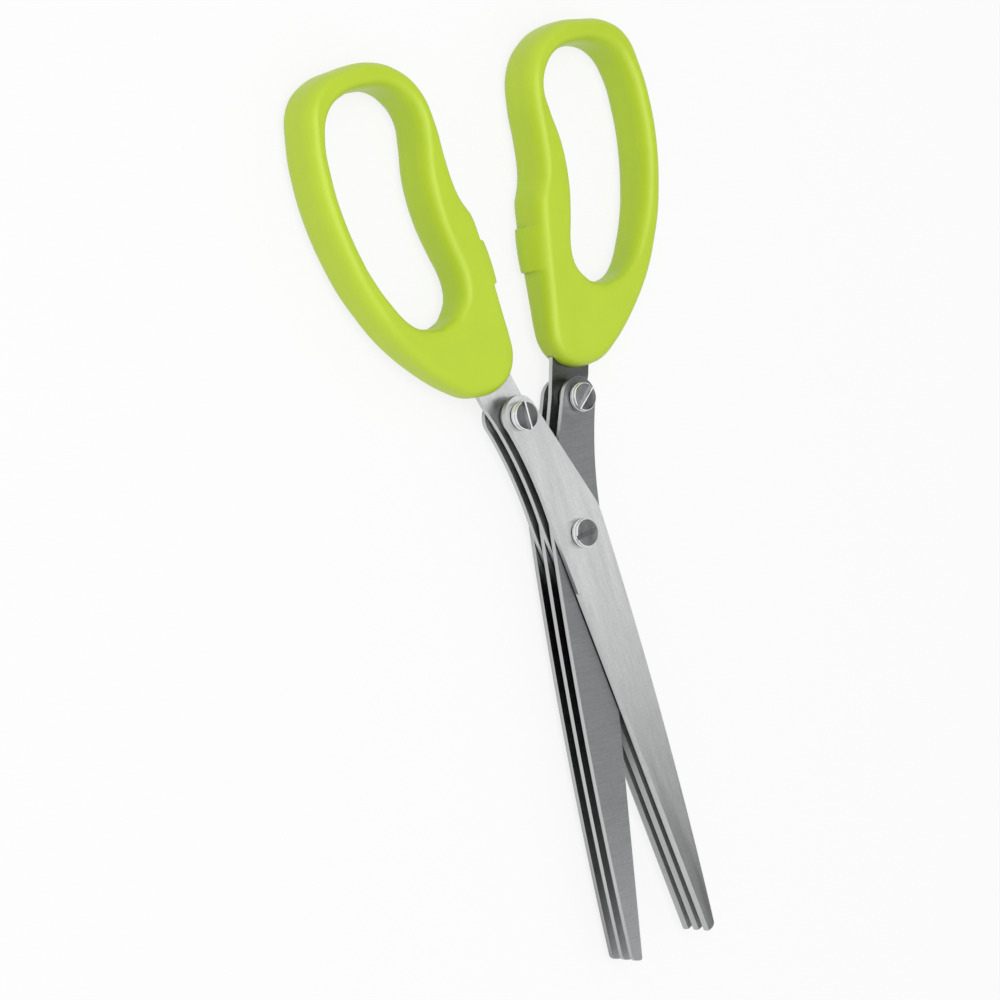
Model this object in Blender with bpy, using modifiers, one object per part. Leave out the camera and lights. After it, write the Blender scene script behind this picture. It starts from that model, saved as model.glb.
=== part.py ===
"""Herb scissors: two looped handles, six blades in three pairs, one shared pivot.

The scissors lie flat with their front up. The pivot axis is the Z axis, and the
handles point along +Y. Each half is drawn closed, beside the centre line x = 0,
and then opened by half of the resting angle.
"""

import math

import bmesh
import bpy
from mathutils import Matrix, Vector

MM = 0.001

# Blades, measured on the left half while the scissors are closed
blade_thickness = 1.2 * MM
blade_pair_count = 3
blade_reach = 100.1 * MM
blade_half_width = 7.4 * MM
shoulder_height = 4.4 * MM
shoulder_radius = 5.0 * MM
spine_sweep = 5.5 * MM
tip_width = 2.7 * MM
tip_radius = 0.9 * MM
tip_slant = 0.4 * MM
heel_offset = 7.6 * MM
heel_height = 5.0 * MM
heel_radius = 12.0 * MM
neck_sweep = 3.7 * MM
edge_bevel_width = 0.6 * MM
edge_bevel_depth = 1.0 * MM
edge_bevel_start = 17.5 * MM
spine_steps = 12
neck_steps = 5
corner_steps = 5
corner_reach_share = 0.49

# Tang, the strip of the middle blade that runs into the handle
tang_screw_offset = 6.4 * MM
tang_screw_height = 30.8 * MM
tang_head_radius = 4.85 * MM
tang_width = 11.0 * MM
tang_length = 21.0 * MM
tang_lean = math.radians(12.4)
tang_corner_radius = 1.5 * MM
tang_foot_share = 0.3
head_arc_start = math.radians(190)
head_arc_end = math.radians(18)

# Screws, sleeve nuts, washers and spacers
screw_head_diameter = 6.8 * MM
screw_head_height = 1.9 * MM
screw_rim_chamfer = 0.3 * MM
slot_width = 1.3 * MM
slot_depth = 0.45 * MM
shank_diameter = 2.2 * MM
shank_end_gap = 1.0 * MM
nut_head_height = 1.4 * MM
nut_floor = 0.6 * MM
barrel_diameter = 4.0 * MM
washer_thickness = 0.6 * MM
washer_diameter = 9.6 * MM
spacer_diameter = 7.0 * MM
turned_steps = 36
hole_steps = 36
pivot_slot_angle = math.radians(14)
left_slot_angle = math.radians(86)
right_slot_angle = math.radians(44)

# Clearances
face_gap = 0.2 * MM
bore_gap = 0.3 * MM
tang_gap = 0.25 * MM
cut_overrun = 2.0 * MM
weld_distance = 0.01 * MM
sharp_angle = math.radians(30)

# Handles, measured on the left half while the scissors are closed
handle_thickness = 12.2 * MM
handle_length = 80.4 * MM
handle_width = 41.0 * MM
foot_gap = 2.15 * MM
handle_corner_width = 2.2 * MM
handle_corner_depth = 4.4 * MM
foot_thickness_share = 0.60
taper_end_share = 0.62
taper_power = 1.6
taper_cut_count = 6
outline_resolution = 4
corner_resolution = 2

# Outline points go round clockwise from the foot. The first share is of the
# handle's width, out from the centre line, and the second of its length.
handle_outline_shares = (
    (0.240, 0.000),
    (0.375, 0.008),
    (0.535, 0.066),
    (0.748, 0.192),
    (0.890, 0.333),
    (0.966, 0.466),
    (0.998, 0.616),
    (0.986, 0.740),
    (0.945, 0.850),
    (0.870, 0.943),
    (0.728, 0.989),
    (0.570, 0.998),
    (0.390, 0.993),
    (0.215, 0.948),
    (0.120, 0.868),
    (0.083, 0.770),
    (0.096, 0.670),
    (0.095, 0.590),
    (0.082, 0.548),
    (0.057, 0.520),
    (0.042, 0.495),
    (0.028, 0.430),
    (0.024, 0.350),
    (0.023, 0.270),
    (0.022, 0.190),
    (0.024, 0.115),
    (0.036, 0.056),
    (0.075, 0.020),
    (0.140, 0.004),
)
loop_outline_shares = (
    (0.455, 0.236),
    (0.375, 0.246),
    (0.298, 0.285),
    (0.262, 0.345),
    (0.270, 0.415),
    (0.290, 0.495),
    (0.295, 0.560),
    (0.275, 0.650),
    (0.230, 0.740),
    (0.210, 0.800),
    (0.240, 0.858),
    (0.335, 0.906),
    (0.470, 0.922),
    (0.620, 0.920),
    (0.748, 0.892),
    (0.835, 0.825),
    (0.866, 0.740),
    (0.874, 0.640),
    (0.857, 0.530),
    (0.792, 0.410),
    (0.695, 0.312),
    (0.585, 0.255),
)

# Grip pad, the raised scallop on the inner side of each handle
pad_start_height = 61.0 * MM
pad_length = 10.3 * MM
pad_lift = 1.1 * MM
pad_root = 5.0 * MM
pad_depth_share = 0.985

# Opening
rest_opening = math.radians(12.4)

# Derived levels and places
half_thickness = blade_thickness / 2
pair_pitch = 2 * blade_thickness + washer_thickness + 3 * face_gap
right_rear_level = nut_head_height + face_gap + half_thickness
left_rear_level = right_rear_level + blade_thickness + face_gap
stack_span = (blade_pair_count - 1) * pair_pitch
stack_middle = (right_rear_level + left_rear_level + stack_span) / 2
barrel_hole_radius = barrel_diameter / 2 + bore_gap
tang_screw_place = (-tang_screw_offset, tang_screw_height)
tang_level = left_rear_level + pair_pitch - stack_middle
handle_foot_height = tang_screw_height + tang_head_radius + foot_gap
blade_rows = ("rear", "middle", "front")
spacer_rows = ("rear", "front")

# Colours as the photograph shows them
lime_green = (0.47, 0.66, 0.035, 1.0)
blade_steel = (0.60, 0.61, 0.61, 1.0)
screw_steel = (0.66, 0.66, 0.66, 1.0)
washer_steel = (0.45, 0.45, 0.46, 1.0)
plastic_roughness = 0.38
blade_roughness = 0.34
screw_roughness = 0.18
washer_roughness = 0.40


def clear_scene():
    for scene_object in list(bpy.data.objects):
        bpy.data.objects.remove(scene_object, do_unlink=True)


def new_collection(name):
    collection = bpy.data.collections.new(name)
    bpy.context.scene.collection.children.link(collection)
    return collection


def plain_material(name, colour, roughness, metallic):
    material = bpy.data.materials.new(name)
    material.use_nodes = True
    shader = material.node_tree.nodes["Principled BSDF"]
    shader.inputs["Base Color"].default_value = colour
    shader.inputs["Roughness"].default_value = roughness
    shader.inputs["Metallic"].default_value = metallic
    return material


def half_empty(name, opening, parts):
    """An empty on the pivot axis that carries one half of the scissors."""
    empty = bpy.data.objects.new(name, None)
    empty.rotation_euler = (0, 0, opening)
    parts.objects.link(empty)
    return empty


def add_object(name, mesh, material, collection):
    piece = bpy.data.objects.new(name, mesh)
    collection.objects.link(piece)
    mesh.materials.clear()
    mesh.materials.append(material)
    return piece


def shade_round(mesh):
    mesh.shade_smooth()
    mesh.set_sharp_from_angle(angle=sharp_angle)


# Outlines

def rounded_corners(corners):
    """Points of a closed outline whose corners (x, y, radius) are filleted."""
    points = []
    count = len(corners)
    for index, (x, y, radius) in enumerate(corners):
        corner = Vector((x, y))
        if radius == 0:
            points.append(corner)
            continue
        before = Vector(corners[index - 1][:2]) - corner
        after = Vector(corners[(index + 1) % count][:2]) - corner
        opening = before.angle(after)
        reach = radius / math.tan(opening / 2)
        reach = min(reach, before.length * corner_reach_share,
                    after.length * corner_reach_share)
        start = corner + before.normalized() * reach
        end = corner + after.normalized() * reach
        for step in range(corner_steps + 1):
            share = step / corner_steps
            first = start.lerp(corner, share)
            second = corner.lerp(end, share)
            points.append(first.lerp(second, share))
    return points


def circle_points(centre, radius, start, end, steps):
    points = []
    for step in range(steps):
        angle = start + (end - start) * step / (steps - 1)
        x = centre[0] + radius * math.cos(angle)
        y = centre[1] + radius * math.sin(angle)
        points.append((x, y))
    return points


def round_hole(centre):
    points = circle_points(centre, barrel_hole_radius, 0, math.tau, hole_steps + 1)
    return points[:-1]


def neck_point(share):
    """A point on the curved inner edge, from the heel up to the tang screw."""
    x = -heel_offset - neck_sweep * share ** 2
    y = heel_height + (tang_screw_height - heel_height) * share
    return (x, y, 0)


def lower_blade_corners():
    """Spine, tip and cutting edge, from the shoulder down and up to the heel."""
    corners = [(blade_half_width, shoulder_height, shoulder_radius)]
    spine_length = shoulder_height + blade_reach - tip_slant
    for step in range(1, spine_steps):
        share = step / spine_steps
        x = blade_half_width - spine_sweep * share ** 2
        y = shoulder_height - spine_length * share
        corners.append((x, y, 0))
    tip_x = blade_half_width - spine_sweep
    corners.append((tip_x, tip_slant - blade_reach, tip_radius))
    corners.append((tip_x - tip_width, -blade_reach, tip_radius))
    corners.append((-heel_offset, heel_height, heel_radius))
    return corners


def plain_blade_outline():
    """A blade that ends in a round head about the tang screw."""
    corners = lower_blade_corners()
    for step in range(1, neck_steps):
        corners.append(neck_point(step / neck_steps))
    head = circle_points(tang_screw_place, tang_head_radius,
                         head_arc_start, head_arc_end, hole_steps // 2)
    corners += [(x, y, 0) for x, y in head]
    return rounded_corners(corners)


def tang_blade_outline():
    """The middle blade, which runs on past its screw into the handle."""
    corners = lower_blade_corners()
    for step in range(1, neck_steps + 1):
        corners.append(neck_point(step / neck_steps))
    along = Vector((-math.sin(tang_lean), math.cos(tang_lean)))
    across = Vector((-math.cos(tang_lean), -math.sin(tang_lean)))
    screw = Vector(tang_screw_place)
    side = across * tang_width / 2
    end = screw + along * tang_length
    foot = screw.lerp(end, tang_foot_share) + side
    corners.append((foot.x, foot.y, 0))
    for corner in (end + side, end - side):
        corners.append((corner.x, corner.y, tang_corner_radius))
    inner = screw - side
    corners.append((inner.x, inner.y, shoulder_radius))
    return rounded_corners(corners)


# Meshes

def outline_mesh(name, outlines, height):
    """Flat closed outlines, holes included, as a slab of the given height."""
    curve = bpy.data.curves.new(name, "CURVE")
    curve.dimensions = "2D"
    curve.fill_mode = "BOTH"
    curve.extrude = height / 2
    for outline in outlines:
        spline = curve.splines.new("POLY")
        spline.points.add(len(outline) - 1)
        spline.use_cyclic_u = True
        for point, place in zip(spline.points, outline):
            point.co = (place[0], place[1], 0, 1)
    return curve_to_mesh(name, curve)


def curve_to_mesh(name, curve):
    """The curve's solid as a mesh with its caps welded on."""
    curve_object = bpy.data.objects.new(name + "_curve", curve)
    bpy.context.scene.collection.objects.link(curve_object)
    depsgraph = bpy.context.evaluated_depsgraph_get()
    mesh = bpy.data.meshes.new_from_object(curve_object.evaluated_get(depsgraph))
    mesh.name = name
    bpy.data.objects.remove(curve_object, do_unlink=True)
    bpy.data.curves.remove(curve)
    shell = bmesh.new()
    shell.from_mesh(mesh)
    bmesh.ops.remove_doubles(shell, verts=shell.verts, dist=weld_distance)
    bmesh.ops.recalc_face_normals(shell, faces=shell.faces)
    shell.to_mesh(mesh)
    shell.free()
    return mesh


def add_cutter(name, mesh, cutters):
    cutter = bpy.data.objects.new(name, mesh)
    cutter.display_type = "WIRE"
    cutter.hide_render = True
    cutters.objects.link(cutter)
    return cutter


def cut(piece, cutter, operation="DIFFERENCE"):
    modifier = piece.modifiers.new(cutter.name, "BOOLEAN")
    modifier.operation = operation
    modifier.solver = "EXACT"
    modifier.object = cutter
    return modifier


def worked_mesh(name, mesh, steps):
    """The mesh after each (cutter, operation) has worked on it in place."""
    blank = bpy.data.objects.new(name + "_blank", mesh)
    bpy.context.scene.collection.objects.link(blank)
    for cutter, operation in steps:
        cut(blank, cutter, operation)
    depsgraph = bpy.context.evaluated_depsgraph_get()
    worked = bpy.data.meshes.new_from_object(blank.evaluated_get(depsgraph))
    worked.name = name
    bpy.data.objects.remove(blank, do_unlink=True)
    bpy.data.meshes.remove(mesh)
    return worked


def box_mesh(name, size):
    mesh = bpy.data.meshes.new(name)
    box = bmesh.new()
    bmesh.ops.create_cube(box, size=1)
    bmesh.ops.scale(box, vec=size, verts=box.verts)
    box.to_mesh(mesh)
    box.free()
    return mesh


def turned_object(name, profile, closed, material, collection):
    """A profile (radius, height) turned about the Z axis."""
    mesh = bpy.data.meshes.new(name)
    vertices = [(radius, 0, height) for radius, height in profile]
    edges = [(index, index + 1) for index in range(len(profile) - 1)]
    if closed:
        edges.append((len(profile) - 1, 0))
    mesh.from_pydata(vertices, edges, [])
    piece = add_object(name, mesh, material, collection)
    turn = piece.modifiers.new("turn", "SCREW")
    turn.steps = turned_steps
    turn.render_steps = turned_steps
    turn.use_merge_vertices = True
    turn.merge_threshold = weld_distance
    turn.use_smooth_shade = True
    return piece


# Blades

def edge_grind_cutter(name, cutters):
    """A long wedge that grinds the front of the cutting edge, below the pivot."""
    tip = Vector((blade_half_width - spine_sweep - tip_width, -blade_reach, 0))
    heel = Vector((-heel_offset, heel_height, 0))
    along = (tip - heel).normalized()
    length = (tip - heel).length - edge_bevel_start + cut_overrun
    size = (2 * cut_overrun, length, 2 * cut_overrun)
    mesh = box_mesh(name, size)
    mesh.transform(Matrix.Translation((-cut_overrun, 0, 0)))
    tilt = math.atan2(edge_bevel_width, edge_bevel_depth)
    mesh.transform(Matrix.Rotation(tilt, 4, "Y"))
    mesh.transform(Matrix.Translation((edge_bevel_width, 0, half_thickness)))
    turn = math.atan2(-along.x, along.y) + math.pi
    mesh.transform(Matrix.Rotation(turn, 4, "Z"))
    middle = heel + along * (edge_bevel_start + length / 2)
    mesh.transform(Matrix.Translation(middle))
    return add_cutter(name, mesh, cutters)


def blade_mesh(name, outline, grind):
    """A flat blade with its two holes and its ground edge."""
    outlines = [outline, round_hole((0, 0)), round_hole(tang_screw_place)]
    mesh = outline_mesh(name, outlines, blade_thickness)
    return worked_mesh(name, mesh, [(grind, "DIFFERENCE")])


def seat_on_half(piece, level, half, flipped):
    piece.parent = half
    piece.location.z = level
    if flipped:
        piece.rotation_euler.y = math.pi


# Handles

def smooth_spline(curve, shares):
    spline = curve.splines.new("BEZIER")
    spline.bezier_points.add(len(shares) - 1)
    spline.use_cyclic_u = True
    spline.resolution_u = outline_resolution
    for point, (out_share, up_share) in zip(spline.bezier_points, shares):
        x = -handle_width * out_share
        y = handle_foot_height + handle_length * up_share
        point.co = (x, y, 0)
        point.handle_left_type = "AUTO"
        point.handle_right_type = "AUTO"


def thickness_share(y):
    """How much of the full handle thickness is left at a height."""
    up_share = (y - handle_foot_height) / handle_length
    run = min(max(up_share / taper_end_share, 0), 1)
    return 1 - (1 - foot_thickness_share) * (1 - run) ** taper_power


def grip_mesh(name):
    """The looped grip with soft edges, thinner towards the blades."""
    curve = bpy.data.curves.new(name, "CURVE")
    curve.dimensions = "2D"
    curve.fill_mode = "BOTH"
    smooth_spline(curve, handle_outline_shares)
    smooth_spline(curve, loop_outline_shares)
    stretch = handle_corner_depth / handle_corner_width
    curve.bevel_depth = handle_corner_width
    curve.bevel_resolution = corner_resolution
    curve.offset = -handle_corner_width
    curve.extrude = (handle_thickness / 2 - handle_corner_depth) / stretch
    mesh = curve_to_mesh(name, curve)
    mesh.transform(Matrix.Diagonal((1, 1, stretch, 1)))
    shell = bmesh.new()
    shell.from_mesh(mesh)
    for step in range(1, taper_cut_count + 1):
        share = taper_end_share * step / taper_cut_count
        level = handle_foot_height + handle_length * share
        geometry = shell.verts[:] + shell.edges[:] + shell.faces[:]
        bmesh.ops.bisect_plane(shell, geom=geometry, dist=weld_distance,
                               plane_co=(0, level, 0), plane_no=(0, 1, 0))
    for vertex in shell.verts:
        vertex.co.z *= thickness_share(vertex.co.y)
    shell.to_mesh(mesh)
    shell.free()
    return mesh


def tang_slot_cutter(cutters):
    """The pocket in the handle's foot that holds the tang."""
    length = tang_length + tang_gap
    width = tang_width + 2 * tang_gap
    mesh = box_mesh("tang_slot", (width, length, blade_thickness + 2 * face_gap))
    mesh.transform(Matrix.Translation((0, length / 2, tang_level)))
    mesh.transform(Matrix.Rotation(tang_lean, 4, "Z"))
    mesh.transform(Matrix.Translation((*tang_screw_place, 0)))
    return add_cutter("tang_slot", mesh, cutters)


def grip_pad(cutters):
    """A stretch of the grip's inner side, shifted outwards as a raised scallop."""
    size = (2 * pad_root, pad_length, 2 * handle_thickness)
    window_mesh = box_mesh("pad_window", size)
    middle = (0, pad_start_height + pad_length / 2, 0)
    window_mesh.transform(Matrix.Translation(middle))
    window = add_cutter("pad_window", window_mesh, cutters)
    shifted = grip_mesh("grip_pad")
    shifted.transform(Matrix.Diagonal((1, 1, pad_depth_share, 1)))
    shifted.transform(Matrix.Translation((pad_lift, 0, 0)))
    mesh = worked_mesh("grip_pad", shifted, [(window, "INTERSECT")])
    return add_cutter("grip_pad", mesh, cutters)


def handle_mesh(name, cutters):
    """The grip with its raised pad and the pocket for the tang."""
    steps = [(grip_pad(cutters), "UNION"), (tang_slot_cutter(cutters), "DIFFERENCE")]
    mesh = worked_mesh(name, grip_mesh(name), steps)
    shade_round(mesh)
    return mesh


# Screws, nuts, washers and spacers

def binding_screw(name, barrel_length, slot_angle, kit):
    """A slotted head with its shank; the head's underside is at height zero."""
    head_radius = screw_head_diameter / 2
    rim_radius = head_radius - screw_rim_chamfer
    shank_radius = shank_diameter / 2
    shank_length = barrel_length + face_gap - nut_floor - shank_end_gap
    profile = (
        (0, screw_head_height),
        (rim_radius, screw_head_height),
        (head_radius, screw_head_height - screw_rim_chamfer),
        (head_radius, 0),
        (shank_radius, 0),
        (shank_radius, -shank_length),
        (0, -shank_length),
    )
    screw = turned_object(name, profile, False, kit["screw"], kit["parts"])
    size = (screw_head_diameter + cut_overrun, slot_width, 2 * slot_depth)
    mesh = box_mesh(name + "_slot", size)
    mesh.transform(Matrix.Rotation(slot_angle, 4, "Z"))
    mesh.transform(Matrix.Translation((0, 0, screw_head_height)))
    slot = add_cutter(name + "_slot", mesh, kit["cutters"])
    slot.parent = screw
    cut(screw, slot)
    return screw


def sleeve_nut(name, barrel_length, kit):
    """A plain rear head with a barrel; the head's inner face is at height zero."""
    head_radius = screw_head_diameter / 2
    rim_radius = head_radius - screw_rim_chamfer
    barrel_radius = barrel_diameter / 2
    bore_radius = shank_diameter / 2 + bore_gap
    profile = (
        (0, nut_floor),
        (bore_radius, nut_floor),
        (bore_radius, barrel_length),
        (barrel_radius, barrel_length),
        (barrel_radius, 0),
        (head_radius, 0),
        (head_radius, screw_rim_chamfer - nut_head_height),
        (rim_radius, -nut_head_height),
        (0, -nut_head_height),
    )
    return turned_object(name, profile, False, kit["screw"], kit["parts"])


def flat_ring(name, diameter, thickness, kit):
    """A washer or spacer round a barrel, centred on height zero."""
    profile = (
        (diameter / 2, thickness / 2),
        (diameter / 2, -thickness / 2),
        (barrel_hole_radius, -thickness / 2),
        (barrel_hole_radius, thickness / 2),
    )
    return turned_object(name, profile, True, kit["washer"], kit["parts"])


def place_at(piece, place, level, half):
    piece.parent = half
    piece.location = (*place, level)


def fastener_set(name, place, rear_level, barrel_length, slot_angle, half, kit):
    """A screw and its sleeve nut on one axis."""
    nut_level = rear_level - half_thickness - face_gap
    nut = sleeve_nut(name.replace("screw", "nut"), barrel_length, kit)
    place_at(nut, place, nut_level, half)
    screw = binding_screw(name, barrel_length, slot_angle, kit)
    place_at(screw, place, nut_level + barrel_length + face_gap, half)


def tang_fasteners(side, place, rear_level, slot_angle, half, kit):
    """The screw that ties one half's three blades, with its two spacers."""
    barrel_length = stack_span + blade_thickness + face_gap
    fastener_set("tang_screw_" + side, place, rear_level, barrel_length,
                 slot_angle, half, kit)
    thickness = pair_pitch - blade_thickness - 2 * face_gap
    for index in range(blade_pair_count - 1):
        name = "tang_spacer_" + side + "_" + spacer_rows[index]
        spacer = flat_ring(name, spacer_diameter, thickness, kit)
        level = rear_level + pair_pitch * index + pair_pitch / 2
        place_at(spacer, place, level, half)


def pivot_fasteners(half, kit):
    """The pivot screw through all six blades, with washers between the pairs."""
    barrel_length = stack_span + 2 * blade_thickness + 2 * face_gap
    fastener_set("pivot_screw", (0, 0), right_rear_level, barrel_length,
                 pivot_slot_angle, half, kit)
    for index in range(blade_pair_count - 1):
        name = "pivot_washer_" + spacer_rows[index]
        washer = flat_ring(name, washer_diameter, washer_thickness, kit)
        below = left_rear_level + pair_pitch * index + half_thickness
        place_at(washer, (0, 0), below + face_gap + washer_thickness / 2, half)


def build_half(side, rear_level, opening, flipped, kit):
    """One handle with its three blades, which the right half carries flipped."""
    half = half_empty(side + "_half", opening, kit["parts"])
    grip = add_object("handle_" + side, kit["handle_mesh"], kit["handle"], kit["parts"])
    seat_on_half(grip, stack_middle, half, flipped)
    for index, row in enumerate(blade_rows):
        mesh = kit["tang_blade_mesh"] if row == "middle" else kit["plain_blade_mesh"]
        name = "blade_" + side + "_" + row
        piece = add_object(name, mesh, kit["blade"], kit["parts"])
        seat_on_half(piece, rear_level + pair_pitch * index, half, flipped)
    return half


def main():
    clear_scene()
    kit = {
        "parts": new_collection("herb_scissors"),
        "cutters": new_collection("cutters"),
        "handle": plain_material("handle_plastic", lime_green, plastic_roughness, 0),
        "blade": plain_material("blade_steel", blade_steel, blade_roughness, 1),
        "screw": plain_material("screw_steel", screw_steel, screw_roughness, 1),
        "washer": plain_material("washer_steel", washer_steel, washer_roughness, 1),
    }
    grind = edge_grind_cutter("edge_grind", kit["cutters"])
    kit["handle_mesh"] = handle_mesh("handle", kit["cutters"])
    kit["plain_blade_mesh"] = blade_mesh("plain_blade", plain_blade_outline(), grind)
    kit["tang_blade_mesh"] = blade_mesh("tang_blade", tang_blade_outline(), grind)
    left = build_half("left", left_rear_level, rest_opening / 2, False, kit)
    right = build_half("right", right_rear_level, -rest_opening / 2, True, kit)
    mirrored_place = (tang_screw_offset, tang_screw_height)
    tang_fasteners("left", tang_screw_place, left_rear_level,
                   left_slot_angle, left, kit)
    tang_fasteners("right", mirrored_place, right_rear_level,
                   right_slot_angle, right, kit)
    pivot_fasteners(right, kit)


main()
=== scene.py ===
"""Herb scissors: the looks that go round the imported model, laid out as an add-on.

Every length is in metres. A half of the scissors is modelled closed, beside the
centre line x = 0 and with its pivot at the origin, and then turned to its place.
"""

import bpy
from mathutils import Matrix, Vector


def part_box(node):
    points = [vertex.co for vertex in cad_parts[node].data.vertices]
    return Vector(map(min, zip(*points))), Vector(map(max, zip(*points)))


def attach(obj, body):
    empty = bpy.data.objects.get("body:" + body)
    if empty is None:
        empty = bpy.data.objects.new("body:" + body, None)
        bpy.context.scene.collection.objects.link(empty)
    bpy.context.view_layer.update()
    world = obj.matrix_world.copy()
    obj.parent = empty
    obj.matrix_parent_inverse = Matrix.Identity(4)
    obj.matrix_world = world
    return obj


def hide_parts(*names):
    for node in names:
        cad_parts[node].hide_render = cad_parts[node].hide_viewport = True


bl_info = {
    "name": "Herb Scissors",
    "version": (1, 0, 0),
    "blender": (4, 5, 0),
    "location": "View3D > Sidebar > Scissors",
    "description": "Moulded grips, brushed blades, screws and a pale studio for herb scissors",
    "category": "Object",
}

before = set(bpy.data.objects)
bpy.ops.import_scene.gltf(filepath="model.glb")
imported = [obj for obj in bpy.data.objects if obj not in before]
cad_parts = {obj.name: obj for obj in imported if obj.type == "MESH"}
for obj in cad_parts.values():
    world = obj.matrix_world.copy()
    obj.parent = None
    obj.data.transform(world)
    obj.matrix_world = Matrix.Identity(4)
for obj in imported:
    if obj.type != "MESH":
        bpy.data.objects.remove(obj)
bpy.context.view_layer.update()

import math

import bmesh
import bpy
from bpy.props import FloatProperty, FloatVectorProperty, IntProperty, PointerProperty
from mathutils import Matrix, Vector

MM = 0.001
SIDES = ("left", "right")
ROWS = ("rear", "middle", "front")

# Places along the grip's outer side and its finger loop, in mm, on the closed
# left half. Both go round clockwise from the foot and are read in pairs.
GRIP_OUTER = (
    (-9.8, 37.8), (-13.2, 38.1), (-16.5, 39.1), (-19.9, 41.5), (-23.6, 44.9),
    (-27.2, 49.0), (-30.7, 53.7), (-33.8, 59.0), (-36.2, 64.7), (-38.1, 70.1),
    (-39.4, 75.7), (-40.8, 87.3), (-40.5, 97.3), (-38.8, 106.1), (-35.4, 113.9),
    (-29.8, 117.3), (-23.4, 117.9), (-16.0, 117.4), (-9.2, 113.9), (-4.7, 107.7),
    (-3.5, 99.7), (-3.9, 91.7), (-3.9, 85.5), (-3.3, 82.0), (-2.2, 79.2),
    (-1.65, 77.9), (-1.1, 72.5), (-0.9, 66.0), (-0.85, 59.5), (-0.85, 53.0),
    (-0.8, 48.0), (-1.3, 44.0), (-3.7, 40.1), (-6.3, 38.5),
)
GRIP_LOOP = (
    (-17.6, 56.8), (-19.2, 56.6), (-21.0, 57.0), (-23.0, 57.5), (-25.1, 58.5),
    (-27.1, 60.3), (-28.9, 62.8), (-30.4, 65.7), (-31.9, 68.9), (-33.1, 72.1),
    (-34.2, 75.8), (-35.9, 87.9), (-35.5, 97.3), (-34.2, 104.0), (-31.0, 109.5),
    (-25.5, 112.0), (-19.3, 111.9), (-13.8, 110.4), (-10.0, 106.7), (-8.4, 102.1),
    (-9.2, 97.3), (-11.2, 90.1), (-12.0, 83.0), (-12.0, 81.2), (-12.0, 79.5),
    (-11.9, 77.5), (-11.1, 71.5), (-10.3, 66.6), (-10.4, 63.4), (-11.1, 61.2),
    (-12.2, 59.7), (-13.4, 58.6), (-14.7, 57.6), (-16.1, 57.1),
)


class GripSettings(bpy.types.PropertyGroup):
    colour: FloatVectorProperty(
        name="Grip colour", description="Colour of the moulded grips",
        subtype="COLOR", size=4, min=0, max=1, default=(0.490, 0.655, 0.033, 1))
    thickness: FloatProperty(
        name="Thickness", description="Thickness of the grip at the finger loop",
        default=12.2 * MM, min=4 * MM, unit="LENGTH")
    edge_radius: FloatProperty(
        name="Edge width", description="Width of the soft edge, seen from the front",
        default=2.2 * MM, min=0.5 * MM, unit="LENGTH")
    edge_stretch: FloatProperty(
        name="Edge depth", description="Depth of the soft edge in edge widths",
        default=2.0, min=1, max=4)
    foot_share: FloatProperty(
        name="Foot thickness", description="Thickness left at the foot",
        subtype="FACTOR", default=0.60, min=0.3, max=1)
    scallop_lift: FloatProperty(
        name="Scallop height", description="How far the scallop stands out",
        default=1.1 * MM, min=0, unit="LENGTH")
    roughness: FloatProperty(
        name="Roughness", description="Roughness of the moulded plastic",
        subtype="FACTOR", default=0.40, min=0.05, max=1)


class BladeSettings(bpy.types.PropertyGroup):
    outer_colour: FloatVectorProperty(
        name="Outer face", description="Steel of the outer faces, ground along the blade",
        subtype="COLOR", size=4, min=0, max=1, default=(0.75, 0.76, 0.76, 1))
    inner_colour: FloatVectorProperty(
        name="Inner face", description="Steel of the inner faces, ground across the blade",
        subtype="COLOR", size=4, min=0, max=1, default=(0.450, 0.467, 0.473, 1))
    edge_colour: FloatVectorProperty(
        name="Edge", description="Steel of the cut edges",
        subtype="COLOR", size=4, min=0, max=1, default=(0.56, 0.57, 0.57, 1))
    thickness: FloatProperty(
        name="Thickness", description="Thickness of the blade sheet",
        default=1.2 * MM, min=0.3 * MM, unit="LENGTH")
    edge_break: FloatProperty(
        name="Edge break", description="Tiny chamfer round each blade",
        default=0.06 * MM, min=0, unit="LENGTH")


class FastenerSettings(bpy.types.PropertyGroup):
    face_colour: FloatVectorProperty(
        name="Screw face", description="Worn steel of the slotted faces",
        subtype="COLOR", size=4, min=0, max=1, default=(0.31, 0.32, 0.325, 1))
    side_colour: FloatVectorProperty(
        name="Screw side", description="Plated steel of the screws' sides and the nuts",
        subtype="COLOR", size=4, min=0, max=1, default=(0.92, 0.925, 0.93, 1))
    washer_colour: FloatVectorProperty(
        name="Washer colour", description="Plain steel of washers and spacers",
        subtype="COLOR", size=4, min=0, max=1, default=(0.40, 0.40, 0.41, 1))
    head_diameter: FloatProperty(
        name="Head diameter", description="Diameter of the screw and nut heads",
        default=6.8 * MM, min=2 * MM, unit="LENGTH")
    slot_width: FloatProperty(
        name="Slot width", description="Width of the screwdriver slot",
        default=1.3 * MM, min=0.2 * MM, unit="LENGTH")
    slot_depth: FloatProperty(
        name="Slot depth", description="Depth of the screwdriver slot",
        default=0.32 * MM, min=0.1 * MM, unit="LENGTH")
    turn_steps: IntProperty(
        name="Turning steps", description="Segments round each turned piece",
        default=96, min=16, max=256)


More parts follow.
